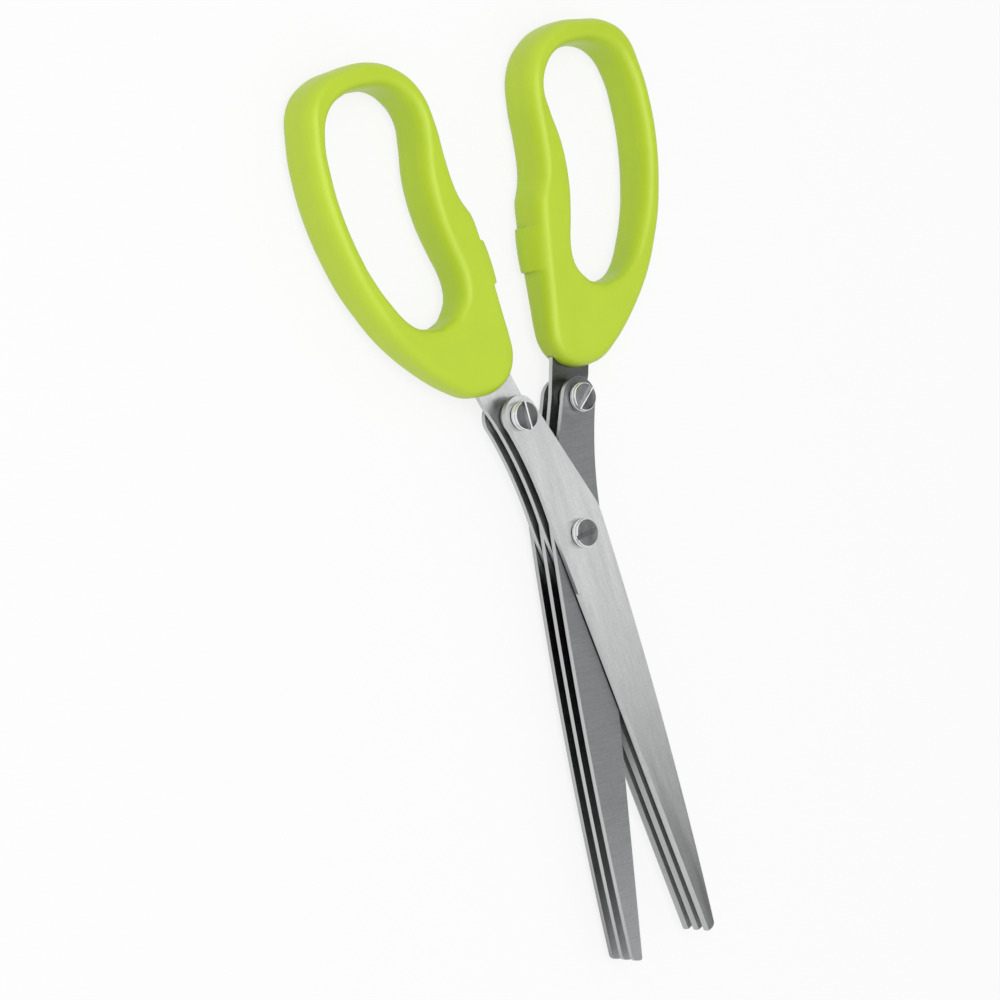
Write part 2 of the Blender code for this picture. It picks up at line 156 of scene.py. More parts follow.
class StudioSettings(bpy.types.PropertyGroup):
    floor_colour: FloatVectorProperty(
        name="Floor colour", description="Colour of the floor",
        subtype="COLOR", size=4, min=0, max=1, default=(0.86, 0.86, 0.86, 1))
    key_power: FloatProperty(
        name="Key lamp", description="Power of the large lamp at the upper left",
        default=4.5, min=0, unit="POWER")
    sheen_power: FloatProperty(
        name="Sheen lamp", description="Power of the lamp that only glosses the grips",
        default=8.5, min=0, unit="POWER")
    card_level: FloatProperty(
        name="Card brightness", description="Brightness of the grey cards that the steel mirrors",
        default=0.04, min=0, max=1)
    world_strength: FloatProperty(
        name="World strength", description="Strength of the surrounding light",
        default=0.60, min=0, max=2)


class ScissorsSettings(bpy.types.PropertyGroup):
    grip: PointerProperty(type=GripSettings)
    blade: PointerProperty(type=BladeSettings)
    fastener: PointerProperty(type=FastenerSettings)
    studio: PointerProperty(type=StudioSettings)


# Places

REST_OPENING = math.radians(12.4)
TANG_SCREW = Vector((-6.4 * MM, 30.8 * MM, 0))
TANG_LEAN = math.radians(12.4)
FLIP = Matrix.Rotation(math.pi, 4, "Y")


def middle_level(node):
    """The height of the middle of a node."""
    low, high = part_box(node)
    return (low.z + high.z) / 2


def opened(side):
    """The turn that opens a closed half to its rest."""
    turn = REST_OPENING / 2 if side == "left" else -REST_OPENING / 2
    return Matrix.Rotation(turn, 4, "Z")


def half_place(side, level):
    """The place on either half of a piece modelled on the closed left half."""
    place = opened(side) @ Matrix.Translation((0, 0, level))
    return place if side == "left" else place @ FLIP


def tang_axis(side):
    """The place of an upright piece on a half's tang screw, at height zero."""
    across = TANG_SCREW.x if side == "left" else -TANG_SCREW.x
    return opened(side) @ Matrix.Translation((across, TANG_SCREW.y, 0))


def body_of(side):
    return side + "_half"


# Mesh helpers

def new_object(name, data):
    made = bpy.data.objects.new(name, data)
    bpy.context.scene.collection.objects.link(made)
    return made


def finished(name, mesh, place, materials, body, node):
    """Bakes a piece's place into its mesh, ties it to its body and hides its node."""
    mesh.transform(place)
    mesh.name = name
    slots = [polygon.material_index for polygon in mesh.polygons]
    mesh.materials.clear()
    for material in materials:
        mesh.materials.append(material)
    mesh.polygons.foreach_set("material_index", slots)
    piece = new_object(name, mesh)
    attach(piece, body)
    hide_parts(node)


def applied(name, data, add_modifiers=None):
    """The mesh that a stand-in with this data and these modifiers shows."""
    stand_in = new_object(name, data)
    if add_modifiers:
        add_modifiers(stand_in)
    depsgraph = bpy.context.evaluated_depsgraph_get()
    mesh = bpy.data.meshes.new_from_object(stand_in.evaluated_get(depsgraph))
    bpy.data.objects.remove(stand_in, do_unlink=True)
    return mesh


def boolean_cuts(mesh, cutters):
    """The mesh with each cutter mesh taken away."""
    tools = [new_object("cutter", cutter) for cutter in cutters]

    def add_cuts(stand_in):
        for tool in tools:
            cut = stand_in.modifiers.new("cut", "BOOLEAN")
            cut.operation = "DIFFERENCE"
            cut.solver = "EXACT"
            cut.object = tool

    result = applied("blank", mesh, add_cuts)
    for tool in tools:
        bpy.data.objects.remove(tool, do_unlink=True)
    return result


def smooth_loop(name, places, resolution):
    """A closed smooth line through places given in mm, as a mesh of edges."""
    curve = bpy.data.curves.new(name, "CURVE")
    curve.dimensions = "2D"
    curve.fill_mode = "NONE"
    spline = curve.splines.new("BEZIER")
    spline.bezier_points.add(len(places) - 1)
    spline.use_cyclic_u = True
    spline.resolution_u = resolution
    for point, (x, y) in zip(spline.bezier_points, places):
        point.co = (x * MM, y * MM, 0)
        point.handle_left_type = "AUTO"
        point.handle_right_type = "AUTO"
    line = applied(name, curve)
    bpy.data.curves.remove(curve)
    return line


def smooth_share(value, start, end):
    """Runs from 0 at start to 1 at end, level at both."""
    share = min(max((value - start) / (end - start), 0), 1)
    return share * share * (3 - 2 * share)


def scaled_cube(size):
    shell = bmesh.new()
    bmesh.ops.create_cube(shell, size=1)
    bmesh.ops.scale(shell, vec=size, verts=shell.verts[:])
    return shell


def raise_faces(shell, height):
    """Makes a flat shell solid, with its new top at the given height above it."""
    raised = bmesh.ops.extrude_face_region(shell, geom=shell.faces[:])
    top = [item for item in raised["geom"] if isinstance(item, bmesh.types.BMVert)]
    bmesh.ops.translate(shell, verts=top, vec=(0, 0, height))
    bmesh.ops.recalc_face_normals(shell, faces=shell.faces[:])


def bevelled(shell, geometry, offset, segments, affect="EDGES"):
    bmesh.ops.bevel(shell, geom=geometry, offset=offset, offset_type="OFFSET",
                    segments=segments, profile=0.5, affect=affect, material=-1)


def rim_edges(shell, degrees):
    """The edges between two faces that turn by more than this angle."""
    return [edge for edge in shell.edges
            if len(edge.link_faces) == 2 and edge.calc_face_angle() > math.radians(degrees)]


def to_mesh(shell, name):
    mesh = bpy.data.meshes.new(name)
    shell.to_mesh(mesh)
    shell.free()
    return mesh


def smoothed(mesh, sharp_degrees):
    """The mesh, shaded smooth except where it turns by more than this angle."""
    mesh.shade_smooth()
    mesh.set_sharp_from_angle(angle=math.radians(sharp_degrees))
    return mesh


# Grips

GRIP_FOOT = 37.8 * MM
GRIP_LENGTH = 80.4 * MM
GRIP_LINE_STEPS = 6
TAPER_END = 0.62
TAPER_POWER = 1.6
GRIP_SHARP = 50
POCKET_SIZE = (11.5 * MM, 21.3 * MM, 1.6 * MM)
SCALLOP_START = 60.95 * MM
SCALLOP_END = 71.25 * MM
SCALLOP_CREST = 65.0 * MM
SCALLOP_CROWN = 0.01
SCALLOP_RAMP = 0.36 * MM
SCALLOP_ROOT = 6.5 * MM
SCALLOP_FADE_START = -5.2 * MM
SCALLOP_FADE_END = 3.0 * MM
# How far a face has turned inwards where the scallop begins, and where it is full.
SCALLOP_TURN_START = 0.25
SCALLOP_TURN_END = 0.9


def grip_ring():
    """The flat ring between the grip's outer line and its finger loop."""
    shell = bmesh.new()
    for name, places in (("outer", GRIP_OUTER), ("loop", GRIP_LOOP)):
        line = smooth_loop(name, places, GRIP_LINE_STEPS)
        shell.from_mesh(line)
        bpy.data.meshes.remove(line)
    bmesh.ops.remove_doubles(shell, verts=shell.verts[:], dist=0.01 * MM)
    bmesh.ops.bridge_loops(shell, edges=shell.edges[:])
    return shell


def flat_pair(edge, test):
    return len(edge.link_faces) == 2 and all(test(face) for face in edge.link_faces)


def grip_solid(settings):
    """The ring made thick, with soft edges and even faces."""
    shell = grip_ring()
    half = settings.thickness / settings.edge_stretch / 2
    raise_faces(shell, 2 * half)
    bmesh.ops.translate(shell, verts=shell.verts[:], vec=(0, 0, -half))
    bevelled(shell, rim_edges(shell, 60), settings.edge_radius, 6)
    shell.normal_update()
    across = [edge for edge in shell.edges
              if flat_pair(edge, lambda face: abs(face.normal.z) > 0.9999)]
    bmesh.ops.subdivide_edges(shell, edges=across, cuts=5, use_grid_fill=True)
    shell.normal_update()
    upright = [edge for edge in shell.edges
               if flat_pair(edge, lambda face: abs(face.normal.z) < 0.01)
               and abs(edge.verts[0].co.z - edge.verts[1].co.z) > half / 20]
    bmesh.ops.subdivide_edges(shell, edges=upright, cuts=3, use_grid_fill=True)
    bmesh.ops.scale(shell, vec=(1, 1, settings.edge_stretch), verts=shell.verts[:])
    return shell


def taper_share(y, foot_share):
    """The share of its full thickness that the grip has at a place along it."""
    run = min(max((y - GRIP_FOOT) / GRIP_LENGTH / TAPER_END, 0), 1)
    return 1 - (1 - foot_share) * (1 - run) ** TAPER_POWER


def raise_scallop(shell, lift):
    """Steps the inner side of the grip out between two lines across it."""
    ramp = SCALLOP_RAMP / 2
    for level in (SCALLOP_START - ramp, SCALLOP_START, SCALLOP_START + ramp,
                  SCALLOP_END - ramp, SCALLOP_END, SCALLOP_END + ramp):
        geometry = shell.verts[:] + shell.edges[:] + shell.faces[:]
        bmesh.ops.bisect_plane(shell, geom=geometry, dist=0.02 * MM,
                               plane_co=(0, level, 0), plane_no=(0, 1, 0))
    shell.normal_update()
    for vertex in shell.verts:
        if vertex.co.x < -SCALLOP_ROOT or vertex.normal.x <= 0:
            continue
        height = smooth_share(vertex.co.y, SCALLOP_START - ramp, SCALLOP_START + ramp)
        height -= smooth_share(vertex.co.y, SCALLOP_END - ramp, SCALLOP_END + ramp)
        turned = smooth_share(vertex.normal.x, SCALLOP_TURN_START, SCALLOP_TURN_END)
        turned *= smooth_share(vertex.co.z, SCALLOP_FADE_START, SCALLOP_FADE_END)
        crown = (vertex.co.y - SCALLOP_CREST) ** 2 * SCALLOP_CROWN / MM
        vertex.co.x += max(lift - crown, 0) * height * turned


def tang_pocket():
    """The slot in the foot that the tang runs into."""
    shell = scaled_cube(POCKET_SIZE)
    bmesh.ops.translate(shell, verts=shell.verts[:], vec=(0, POCKET_SIZE[1] / 2, 0))
    lean = Matrix.Translation(TANG_SCREW) @ Matrix.Rotation(TANG_LEAN, 4, "Z")
    bmesh.ops.transform(shell, matrix=lean, verts=shell.verts[:])
    level = middle_level("blade_left_middle") - middle_level("handle_left")
    bmesh.ops.translate(shell, verts=shell.verts[:], vec=(0, 0, level))
    return to_mesh(shell, "tang_pocket")


def grip_mesh(settings):
    """A soft-edged grip, thinner at its foot, with its scallop and its pocket."""
    shell = grip_solid(settings)
    for vertex in shell.verts:
        vertex.co.z *= taper_share(vertex.co.y, settings.foot_share)

    def soften(stand_in):
        rounding = stand_in.modifiers.new("rounding", "SUBSURF")
        rounding.levels = 1
        rounding.render_levels = 1

    mesh = applied("grip", to_mesh(shell, "grip"), soften)
    shell = bmesh.new()
    shell.from_mesh(mesh)
    raise_scallop(shell, settings.scallop_lift)
    return smoothed(boolean_cuts(to_mesh(shell, "grip"), [tang_pocket()]), GRIP_SHARP)


# Blades

BLADE_REACH = 100.1 * MM
HALF_WIDTH = 7.4 * MM
SHOULDER = 4.4 * MM
SHOULDER_ROUND = 6.0 * MM
SPINE_SWEEP = 5.5 * MM
SPINE_STEPS = 24
TIP_WIDTH = 2.7 * MM
TIP_SLANT = 0.4 * MM
TIP_BACK_ROUND = 3.3 * MM
TIP_EDGE_ROUND = 1.8 * MM
HEEL = Vector((-7.6 * MM, 5.0 * MM, 0))
HEEL_ROUND = 9.0 * MM
NECK_SWEEP = 3.7 * MM
NECK_STEPS = 10
HEAD_RADIUS = 4.85 * MM
HEAD_ARC_START = 190
HEAD_ARC_SWEEP = 172
HEAD_ARC_STEPS = 32
TANG_WIDTH = 11.0 * MM
TANG_LENGTH = 21.0 * MM
TANG_FOOT = 0.3
TANG_ROUND = 1.5 * MM
TANG_ROOT_ROUND = 5.0 * MM
GRIND_START = 17.5 * MM
GRIND_WIDTH = 0.6 * MM
GRIND_DEPTH = 1.0 * MM
GRIND_OVERRUN = 2 * MM
WEDGE_SIDE = 4 * MM
BARREL_HOLE = 2.3 * MM
BLADE_SHARP = 18
GRAIN_SCALE = 5
FLAT_FACE = 0.99
# The order of a blade's materials.
OUTER_FACE, INNER_FACE, CUT_EDGE = range(3)


def blade_corners(with_tang):
    """Corner places of a blade, each with the radius that rounds it."""
    corners = [(HALF_WIDTH, SHOULDER, SHOULDER_ROUND)]
    length = SHOULDER + BLADE_REACH - TIP_SLANT
    for step in range(1, SPINE_STEPS):
        share = step / SPINE_STEPS
        corners.append((HALF_WIDTH - SPINE_SWEEP * share ** 2,
                        SHOULDER - length * share, 0))
    tip_x = HALF_WIDTH - SPINE_SWEEP
    corners.append((tip_x, TIP_SLANT - BLADE_REACH, TIP_BACK_ROUND))
    corners.append((tip_x - TIP_WIDTH, -BLADE_REACH, TIP_EDGE_ROUND))
    corners.append((HEEL.x, HEEL.y, HEEL_ROUND))
    for step in range(1, NECK_STEPS + with_tang):
        share = step / NECK_STEPS
        corners.append((HEEL.x - NECK_SWEEP * share ** 2,
                        HEEL.y + (TANG_SCREW.y - HEEL.y) * share, 0))
    if with_tang:
        along = Vector((-math.sin(TANG_LEAN), math.cos(TANG_LEAN), 0))
        across = Vector((-math.cos(TANG_LEAN), -math.sin(TANG_LEAN), 0)) * TANG_WIDTH / 2
        end = TANG_SCREW + along * TANG_LENGTH
        foot = TANG_SCREW.lerp(end, TANG_FOOT) + across
        corners.append((foot.x, foot.y, 0))
        for corner in (end + across, end - across):
            corners.append((corner.x, corner.y, TANG_ROUND))
        inner = TANG_SCREW - across
        corners.append((inner.x, inner.y, TANG_ROOT_ROUND))
    else:
        for step in range(HEAD_ARC_STEPS + 1):
            angle = math.radians(HEAD_ARC_START - HEAD_ARC_SWEEP * step / HEAD_ARC_STEPS)
            corners.append((TANG_SCREW.x + HEAD_RADIUS * math.cos(angle),
                            TANG_SCREW.y + HEAD_RADIUS * math.sin(angle), 0))
    return corners


def rod_cutter(centre, radius):
    shell = bmesh.new()
    bmesh.ops.create_cone(shell, cap_ends=True, segments=48, radius1=radius,
                          radius2=radius, depth=10 * MM)
    bmesh.ops.translate(shell, verts=shell.verts[:], vec=centre)
    return to_mesh(shell, "rod")


def grind_cutter(thickness):
    """A wedge laid along the cutting edge, which takes its front corner off."""
    tip = Vector((HALF_WIDTH - SPINE_SWEEP - TIP_WIDTH, -BLADE_REACH, 0))
    along = (tip - HEEL).normalized()
    length = (tip - HEEL).length - GRIND_START + GRIND_OVERRUN
    shell = scaled_cube((WEDGE_SIDE, length, WEDGE_SIDE))
    bmesh.ops.translate(shell, verts=shell.verts[:], vec=(-WEDGE_SIDE / 2, 0, 0))
    tilt = Matrix.Rotation(math.atan2(GRIND_WIDTH, GRIND_DEPTH), 4, "Y")
    turn = Matrix.Rotation(math.atan2(-along.x, along.y) + math.pi, 4, "Z")
    middle = HEEL + along * (GRIND_START + length / 2)
    corner = Matrix.Translation((GRIND_WIDTH, 0, thickness / 2))
    place = Matrix.Translation(middle) @ turn @ corner @ tilt
    bmesh.ops.transform(shell, matrix=place, verts=shell.verts[:])
    return to_mesh(shell, "grind")


def blade_blank(settings, with_tang):
    """A flat blade with rounded corners and broken edges, before it is cut."""
    shell = bmesh.new()
    rounds = {}
    rim = []
    for x, y, radius in blade_corners(with_tang):
        vertex = shell.verts.new((x, y, -settings.thickness / 2))
        rim.append(vertex)
        if radius:
            rounds.setdefault(radius, []).append(vertex)
    shell.faces.new(rim)
    # A round starts a third of its radius before its corner.
    for radius, corners in rounds.items():
        bevelled(shell, corners, radius / 3, 8, "VERTICES")
    raise_faces(shell, settings.thickness)
    bevelled(shell, rim_edges(shell, 80), settings.edge_break, 2)
    return to_mesh(shell, "blade")


def blade_mesh(settings, with_tang):
    """A blade with its two holes and its grind, ready for its three finishes."""
    cutters = [rod_cutter((0, 0, 0), BARREL_HOLE), rod_cutter(TANG_SCREW, BARREL_HOLE),
               grind_cutter(settings.thickness)]
    mesh = boolean_cuts(blade_blank(settings, with_tang), cutters)
    mesh.update()
    for polygon in mesh.polygons:
        polygon.material_index = CUT_EDGE
        if polygon.normal.z > FLAT_FACE:
            polygon.material_index = OUTER_FACE
        elif polygon.normal.z < -FLAT_FACE:
            polygon.material_index = INNER_FACE
    places = mesh.attributes.new("blade_place", "FLOAT_VECTOR", "POINT")
    for vertex, place in zip(mesh.vertices, places.data):
        place.vector = vertex.co
    grain = mesh.uv_layers.new(name="grain")
    for loop, spot in zip(mesh.loops, grain.data):
        corner = mesh.vertices[loop.vertex_index].co
        spot.uv = (corner.x * GRAIN_SCALE, corner.y * GRAIN_SCALE)
    return smoothed(mesh, BLADE_SHARP)


# Turned pieces

HEAD_HEIGHT = 1.9 * MM
CROWN_DIP = 0.03 * MM
CROWN_RIM = 0.38 * MM
CROWN_RIM_DIP = 0.02 * MM
TOP_ROUND = 0.30 * MM
STEP_HEIGHT = 1.02 * MM
STEP_INSET = 0.12 * MM
STEP_GROOVE = 0.14 * MM
STEP_LIP = 0.24 * MM
STEP_ROUND = 0.2 * MM
STEP_DROP = 0.26 * MM
BASE_INSET = 0.18 * MM
BASE_LIP = 0.1 * MM
SHANK_RADIUS = 1.1 * MM
SLOT_LEAN = 0.55
SLOT_MARGIN = 0.1 * MM
WALL_MARGIN = 0.03 * MM
FLAT_TOP = 0.97
NUT_HEIGHT = 1.4 * MM
NUT_ROUND = 0.4 * MM
SLEEVE_FLOOR = 0.6 * MM
SLEEVE_BORE = 1.4 * MM
SLEEVE_RADIUS = 2.0 * MM
SLEEVE_CHAMFER = 0.1 * MM
SOFT_CHAMFER = 0.08 * MM
SCREW_BREAK = 0.05 * MM
STEEP_WALL = 0.3
TURNED_SHARP = 35
# The order of a screw's materials.
SCREW_SIDE, SCREW_FACE, SLOT_FLOOR = range(3)


def turned_mesh(name, profile, closed, steps):
    """A profile (radius, height) spun round the Z axis."""
    shell = bmesh.new()
    points = [shell.verts.new((radius, 0, height)) for radius, height in profile]
    edges = [shell.edges.new(pair) for pair in zip(points, points[1:])]
    if closed:
        edges.append(shell.edges.new((points[-1], points[0])))
    bmesh.ops.spin(shell, geom=points + edges, cent=(0, 0, 0), axis=(0, 0, 1),
                   dvec=(0, 0, 0), angle=math.tau, steps=steps, use_merge=True)
    bmesh.ops.remove_doubles(shell, verts=shell.verts[:], dist=0.002 * MM)
    bmesh.ops.recalc_face_normals(shell, faces=shell.faces[:])
    return to_mesh(shell, name)


def rounded(corner_radius, corner_height, out_step, down_step, count=5):
    """Profile points of a quarter round that leaves a flat face for a side."""
    points = []
    for step in range(count + 1):
        angle = math.pi / 2 * step / count
        points.append((corner_radius + out_step * math.sin(angle),
                       corner_height - down_step * (1 - math.cos(angle))))
    return points


def screw_profile(head, barrel):
    """From the crown down the head's two-step side to the end of the shank."""
    neck = head - STEP_INSET
    shank_end = NUT_HEIGHT - barrel
    profile = [(0, HEAD_HEIGHT - CROWN_DIP), (neck - CROWN_RIM, HEAD_HEIGHT - CROWN_RIM_DIP)]
    profile += rounded(neck - TOP_ROUND, HEAD_HEIGHT, TOP_ROUND, TOP_ROUND)
    profile += [(neck, STEP_HEIGHT + STEP_LIP),
                (neck - STEP_GROOVE, STEP_HEIGHT + STEP_GROOVE),
                (neck - STEP_GROOVE, STEP_HEIGHT)]
    profile += rounded(head - STEP_ROUND, STEP_HEIGHT, STEP_ROUND, STEP_DROP)
    profile += [(head, STEP_DROP), (head - BASE_INSET, BASE_LIP), (head - STEP_ROUND, 0),
                (SHANK_RADIUS, 0), (SHANK_RADIUS, shank_end), (0, shank_end)]
    return profile


def slot_cutter(settings, slot_angle):
    """A bar with leaning sides, laid across the top of the head."""
    depth = settings.slot_depth
    lean = 2 * depth * SLOT_LEAN
    shell = scaled_cube((2 * settings.head_diameter, settings.slot_width + lean, 2 * depth))
    for vertex in shell.verts:
        if vertex.co.z < 0:
            vertex.co.y -= math.copysign(lean, vertex.co.y)
    turn = Matrix.Translation((0, 0, HEAD_HEIGHT)) @ Matrix.Rotation(slot_angle, 4, "Z")
    bmesh.ops.transform(shell, matrix=turn, verts=shell.verts[:])
    return to_mesh(shell, "slot")


def screw_mesh(settings, barrel, slot_angle, slot_walls_in_painted_shade):
    """A slotted head on its shank; the head's underside is at height zero."""
    profile = screw_profile(settings.head_diameter / 2, barrel)
    mesh = turned_mesh("screw", profile, False, settings.turn_steps)
    mesh = boolean_cuts(mesh, [slot_cutter(settings, slot_angle)])

    def break_edges(stand_in):
        bevel = stand_in.modifiers.new("break", "BEVEL")
        bevel.width = SCREW_BREAK
        bevel.segments = 2
        bevel.limit_method = "ANGLE"
        bevel.angle_limit = math.radians(50)

    mesh = applied("screw", mesh, break_edges)
    across = Vector((-math.sin(slot_angle), math.cos(slot_angle), 0))
    reach = settings.slot_width / 2 + WALL_MARGIN
    lowest = HEAD_HEIGHT - settings.slot_depth - SLOT_MARGIN
    for polygon in mesh.polygons:
        flat = polygon.normal.z > FLAT_TOP
        # In a slot in painted shade, the walls take the darker face material instead of the
        # bright side.
        wall = (slot_walls_in_painted_shade and abs(polygon.center.dot(across)) < reach
                and abs(polygon.normal.dot(across)) > STEEP_WALL)
        polygon.material_index = SCREW_SIDE
        if polygon.center.z > lowest and (flat or wall):
            sunk = flat and polygon.center.z < HEAD_HEIGHT - SLOT_MARGIN
            polygon.material_index = SLOT_FLOOR if sunk else SCREW_FACE
    return smoothed(mesh, TURNED_SHARP)


def nut_mesh(settings, barrel):
    """A low round head with its barrel; the head's inner face is at height zero."""
    head = settings.head_diameter / 2
    profile = [(0, SLEEVE_FLOOR), (SLEEVE_BORE, SLEEVE_FLOOR), (SLEEVE_BORE, barrel),
               (SLEEVE_RADIUS - SLEEVE_CHAMFER, barrel),
               (SLEEVE_RADIUS, barrel - SLEEVE_CHAMFER), (SLEEVE_RADIUS, 0),
               (head - SOFT_CHAMFER, 0), (head, -BASE_LIP)]
    profile += rounded(head - NUT_ROUND, -NUT_HEIGHT, NUT_ROUND, -NUT_ROUND, 6)[::-1]
    profile.append((0, -NUT_HEIGHT))
    mesh = turned_mesh("nut", profile, False, settings.turn_steps)
    return smoothed(mesh, TURNED_SHARP)


def ring_mesh(settings, node):
    """A washer or spacer with broken edges, as thick as its node."""
    low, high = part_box(node)
    radius = (high.x - low.x) / 2
    half = (high.z - low.z) / 2
    soft = SOFT_CHAMFER
    profile = [(radius - soft, half), (radius, half - soft), (radius, soft - half),
               (radius - soft, -half), (BARREL_HOLE + soft, -half),
               (BARREL_HOLE, soft - half), (BARREL_HOLE, half - soft),
               (BARREL_HOLE + soft, half)]
    mesh = turned_mesh("ring", profile, True, settings.turn_steps)
    return smoothed(mesh, TURNED_SHARP)


# Shader helpers

def set_inputs(tree, node, inputs):
    """Sets a node's inputs to values, or links them to the outputs given."""
    for name, value in inputs.items():
        if isinstance(value, bpy.types.NodeSocket):
            tree.links.new(value, node.inputs[name])
        else:
            node.inputs[name].default_value = value


def new_node(tree, kind, inputs):
    node = tree.nodes.new("ShaderNode" + kind)
    set_inputs(tree, node, inputs)
    return node


def computed(tree, operation, *values):
    node = new_node(tree, "Math", dict(enumerate(values)))
    node.operation = operation
    return node.outputs[0]


def noise(tree, vector, scale, detail, roughness):
    node = new_node(tree, "TexNoise", {"Vector": vector, "Scale": scale,
                                       "Detail": detail, "Roughness": roughness})
    return node.outputs["Fac"]


def remapped(tree, value, low, high, new_low, new_high, curve="LINEAR"):
    node = new_node(tree, "MapRange", {"Value": value, "From Min": low, "From Max": high,
                                       "To Min": new_low, "To Max": new_high})
    node.interpolation_type = curve
    return node.outputs["Result"]


def weighted(tree, first, second, share):
    """The share of the first value plus the rest of the second."""
    return computed(tree, "ADD", computed(tree, "MULTIPLY", first, share),
                    computed(tree, "MULTIPLY", second, 1 - share))


def mixed_colour(tree, factor, low, high):
    node = tree.nodes.new("ShaderNodeMix")
    node.data_type = "RGBA"
    set_inputs(tree, node, {"Factor": factor, "A": low, "B": high})
    return node.outputs["Result"]


def tinted(tree, colour, factor, low, high):
    """The colour, darker or lighter as the factor runs from 0 to 1."""
    shades = [(*[channel * tone for channel in colour[:3]], 1) for tone in (low, high)]
    return mixed_colour(tree, factor, *shades)


def bumped(tree, height, distance, strength, under=None):
    """The normal with a relief on it, over another relief where one is given."""
    node = new_node(tree, "Bump", {"Height": height, "Distance": distance,
                                   "Strength": strength})
    if under:
        set_inputs(tree, node, {"Normal": under})
    return node.outputs["Normal"]


# Shader groups

def new_group(name, inputs, outputs):
    """A shader group with sockets, each a name, a kind and perhaps a default."""
    group = bpy.data.node_groups.new(name, "ShaderNodeTree")
    for in_out, sockets in (("INPUT", inputs), ("OUTPUT", outputs)):
        for label, kind, *default in sockets:
            made = group.interface.new_socket(
                name=label, in_out=in_out, socket_type="NodeSocket" + kind)
            for value in default:
                made.default_value = value
    entry = group.nodes.new("NodeGroupInput").outputs
    return group, entry, group.nodes.new("NodeGroupOutput")


def group_node(tree, group, inputs):
    node = tree.nodes.new("ShaderNodeGroup")
    node.node_tree = group
    set_inputs(tree, node, inputs)
    return node.outputs


def grind_group():
    """Fine grinding lines: stretched noise in two widths, with a soft mottle."""
    name = "Grinding lines"
    if name in bpy.data.node_groups:
        return bpy.data.node_groups[name]
    group, entry, leave = new_group(
        name, (("Vector", "Vector"), ("Stretch", "Vector", (1, 1, 1))),
        (("Fine", "Float"), ("Broad", "Float"), ("Mottle", "Float")))
    stretched = new_node(group, "VectorMath", {0: entry["Vector"], 1: entry["Stretch"]})
    stretched.operation = "MULTIPLY"
    set_inputs(group, leave, {
        "Fine": noise(group, stretched.outputs[0], 9.0, 3, 0.65),
        "Broad": noise(group, stretched.outputs[0], 1.6, 2, 0.5),
        "Mottle": noise(group, entry["Vector"], 1500, 3, 0.6)})
    return group


def handling_group():
    """Faint smears and specks left by handling, as two masks."""
    name = "Handling marks"
    if name in bpy.data.node_groups:
        return bpy.data.node_groups[name]
    group, entry, leave = new_group(
        name, (("Vector", "Vector"), ("Size", "Float", 90.0)),
        (("Smears", "Float"), ("Specks", "Float")))
    smears = noise(group, entry["Vector"], entry["Size"], 4, 0.6)
    specks = noise(group, entry["Vector"], 1900, 2, 0.5)
    set_inputs(group, leave, {"Smears": remapped(group, smears, 0.38, 0.68, 0, 1),
                              "Specks": remapped(group, specks, 0.62, 0.75, 0, 1)})
    return group


# Painted shade: the near-black colour mixed into a surface where little of the sky over it is
# open.
PAINTED_SHADE_FULL = 0.2
PAINTED_SHADE_COLOUR = (0.02, 0.02, 0.02, 1)


def painted_shade_group():
    """Paints shade: darkens a colour where another surface lies close over it."""
    name = "Crevice shade"
    if name in bpy.data.node_groups:
        return bpy.data.node_groups[name]
    group, entry, leave = new_group(
        name, (("Color", "Color"), ("Depth", "Float", 0.7),
               ("Distance", "Float", 3.2 * MM), ("Clear", "Float", 0.5)),
        (("Color", "Color"),))
    near = new_node(group, "AmbientOcclusion", {"Distance": entry["Distance"]})
    near.samples = 8
    cover = remapped(group, near.outputs["AO"], PAINTED_SHADE_FULL, entry["Clear"], 1, 0)
    share = computed(group, "MULTIPLY", cover, entry["Depth"])
    set_inputs(group, leave, {
        "Color": mixed_colour(group, share, entry["Color"], PAINTED_SHADE_COLOUR)})
    return group


def with_painted_shade(tree, colour, depth, distance, clear=0.5):
    """The colour with painted shade, darker where less than the clear share of its sky is open.
    """
    inputs = {"Color": colour, "Depth": depth, "Distance": distance, "Clear": clear}
    return group_node(tree, painted_shade_group(), inputs)["Color"]


# Materials

# Where the painted reflection on a face starts to change towards the tip, and where it changes
# at the tang; the painted shade in the crevices reaches further towards the tip too.
PAINTED_TIP_START = -62 * MM
PAINTED_TANG_START = 31 * MM
PAINTED_TANG_END = 36 * MM
TIP_CLEAR_GAIN = 0.38

# The tip and tang tones of each finish are painted reflection and shade along the blade; each
# finish also sets how far its painted shade reaches.
OUTER_FINISH = dict(stretch=(260, 22, 1), roughness=0.36, contrast=0.12, painted_shade_reach=5.2 * MM,
                    spread=0.6, painted_tip_light=0.72, painted_tang_light=1.15)
INNER_FINISH = dict(stretch=(14, 300, 1), roughness=0.42, contrast=0.15, painted_shade_reach=3.8 * MM,
                    spread=0.9, spread_turn=0.25, painted_tip_light=1.4, painted_tang_light=0.5)
EDGE_FINISH = dict(stretch=(300, 300, 900), roughness=0.38, contrast=0.06,
                   painted_shade_reach=6.4 * MM, clear=0.8)


def new_material(name, roughness, metallic):
    material = bpy.data.materials.new(name)
    material.use_nodes = True
    tree = material.node_tree
    shader = tree.nodes["Principled BSDF"]
    set_inputs(tree, shader, {"Roughness": roughness, "Metallic": metallic})
    return material, tree, shader


def object_place(tree):
    return tree.nodes.new("ShaderNodeTexCoord").outputs["Object"]


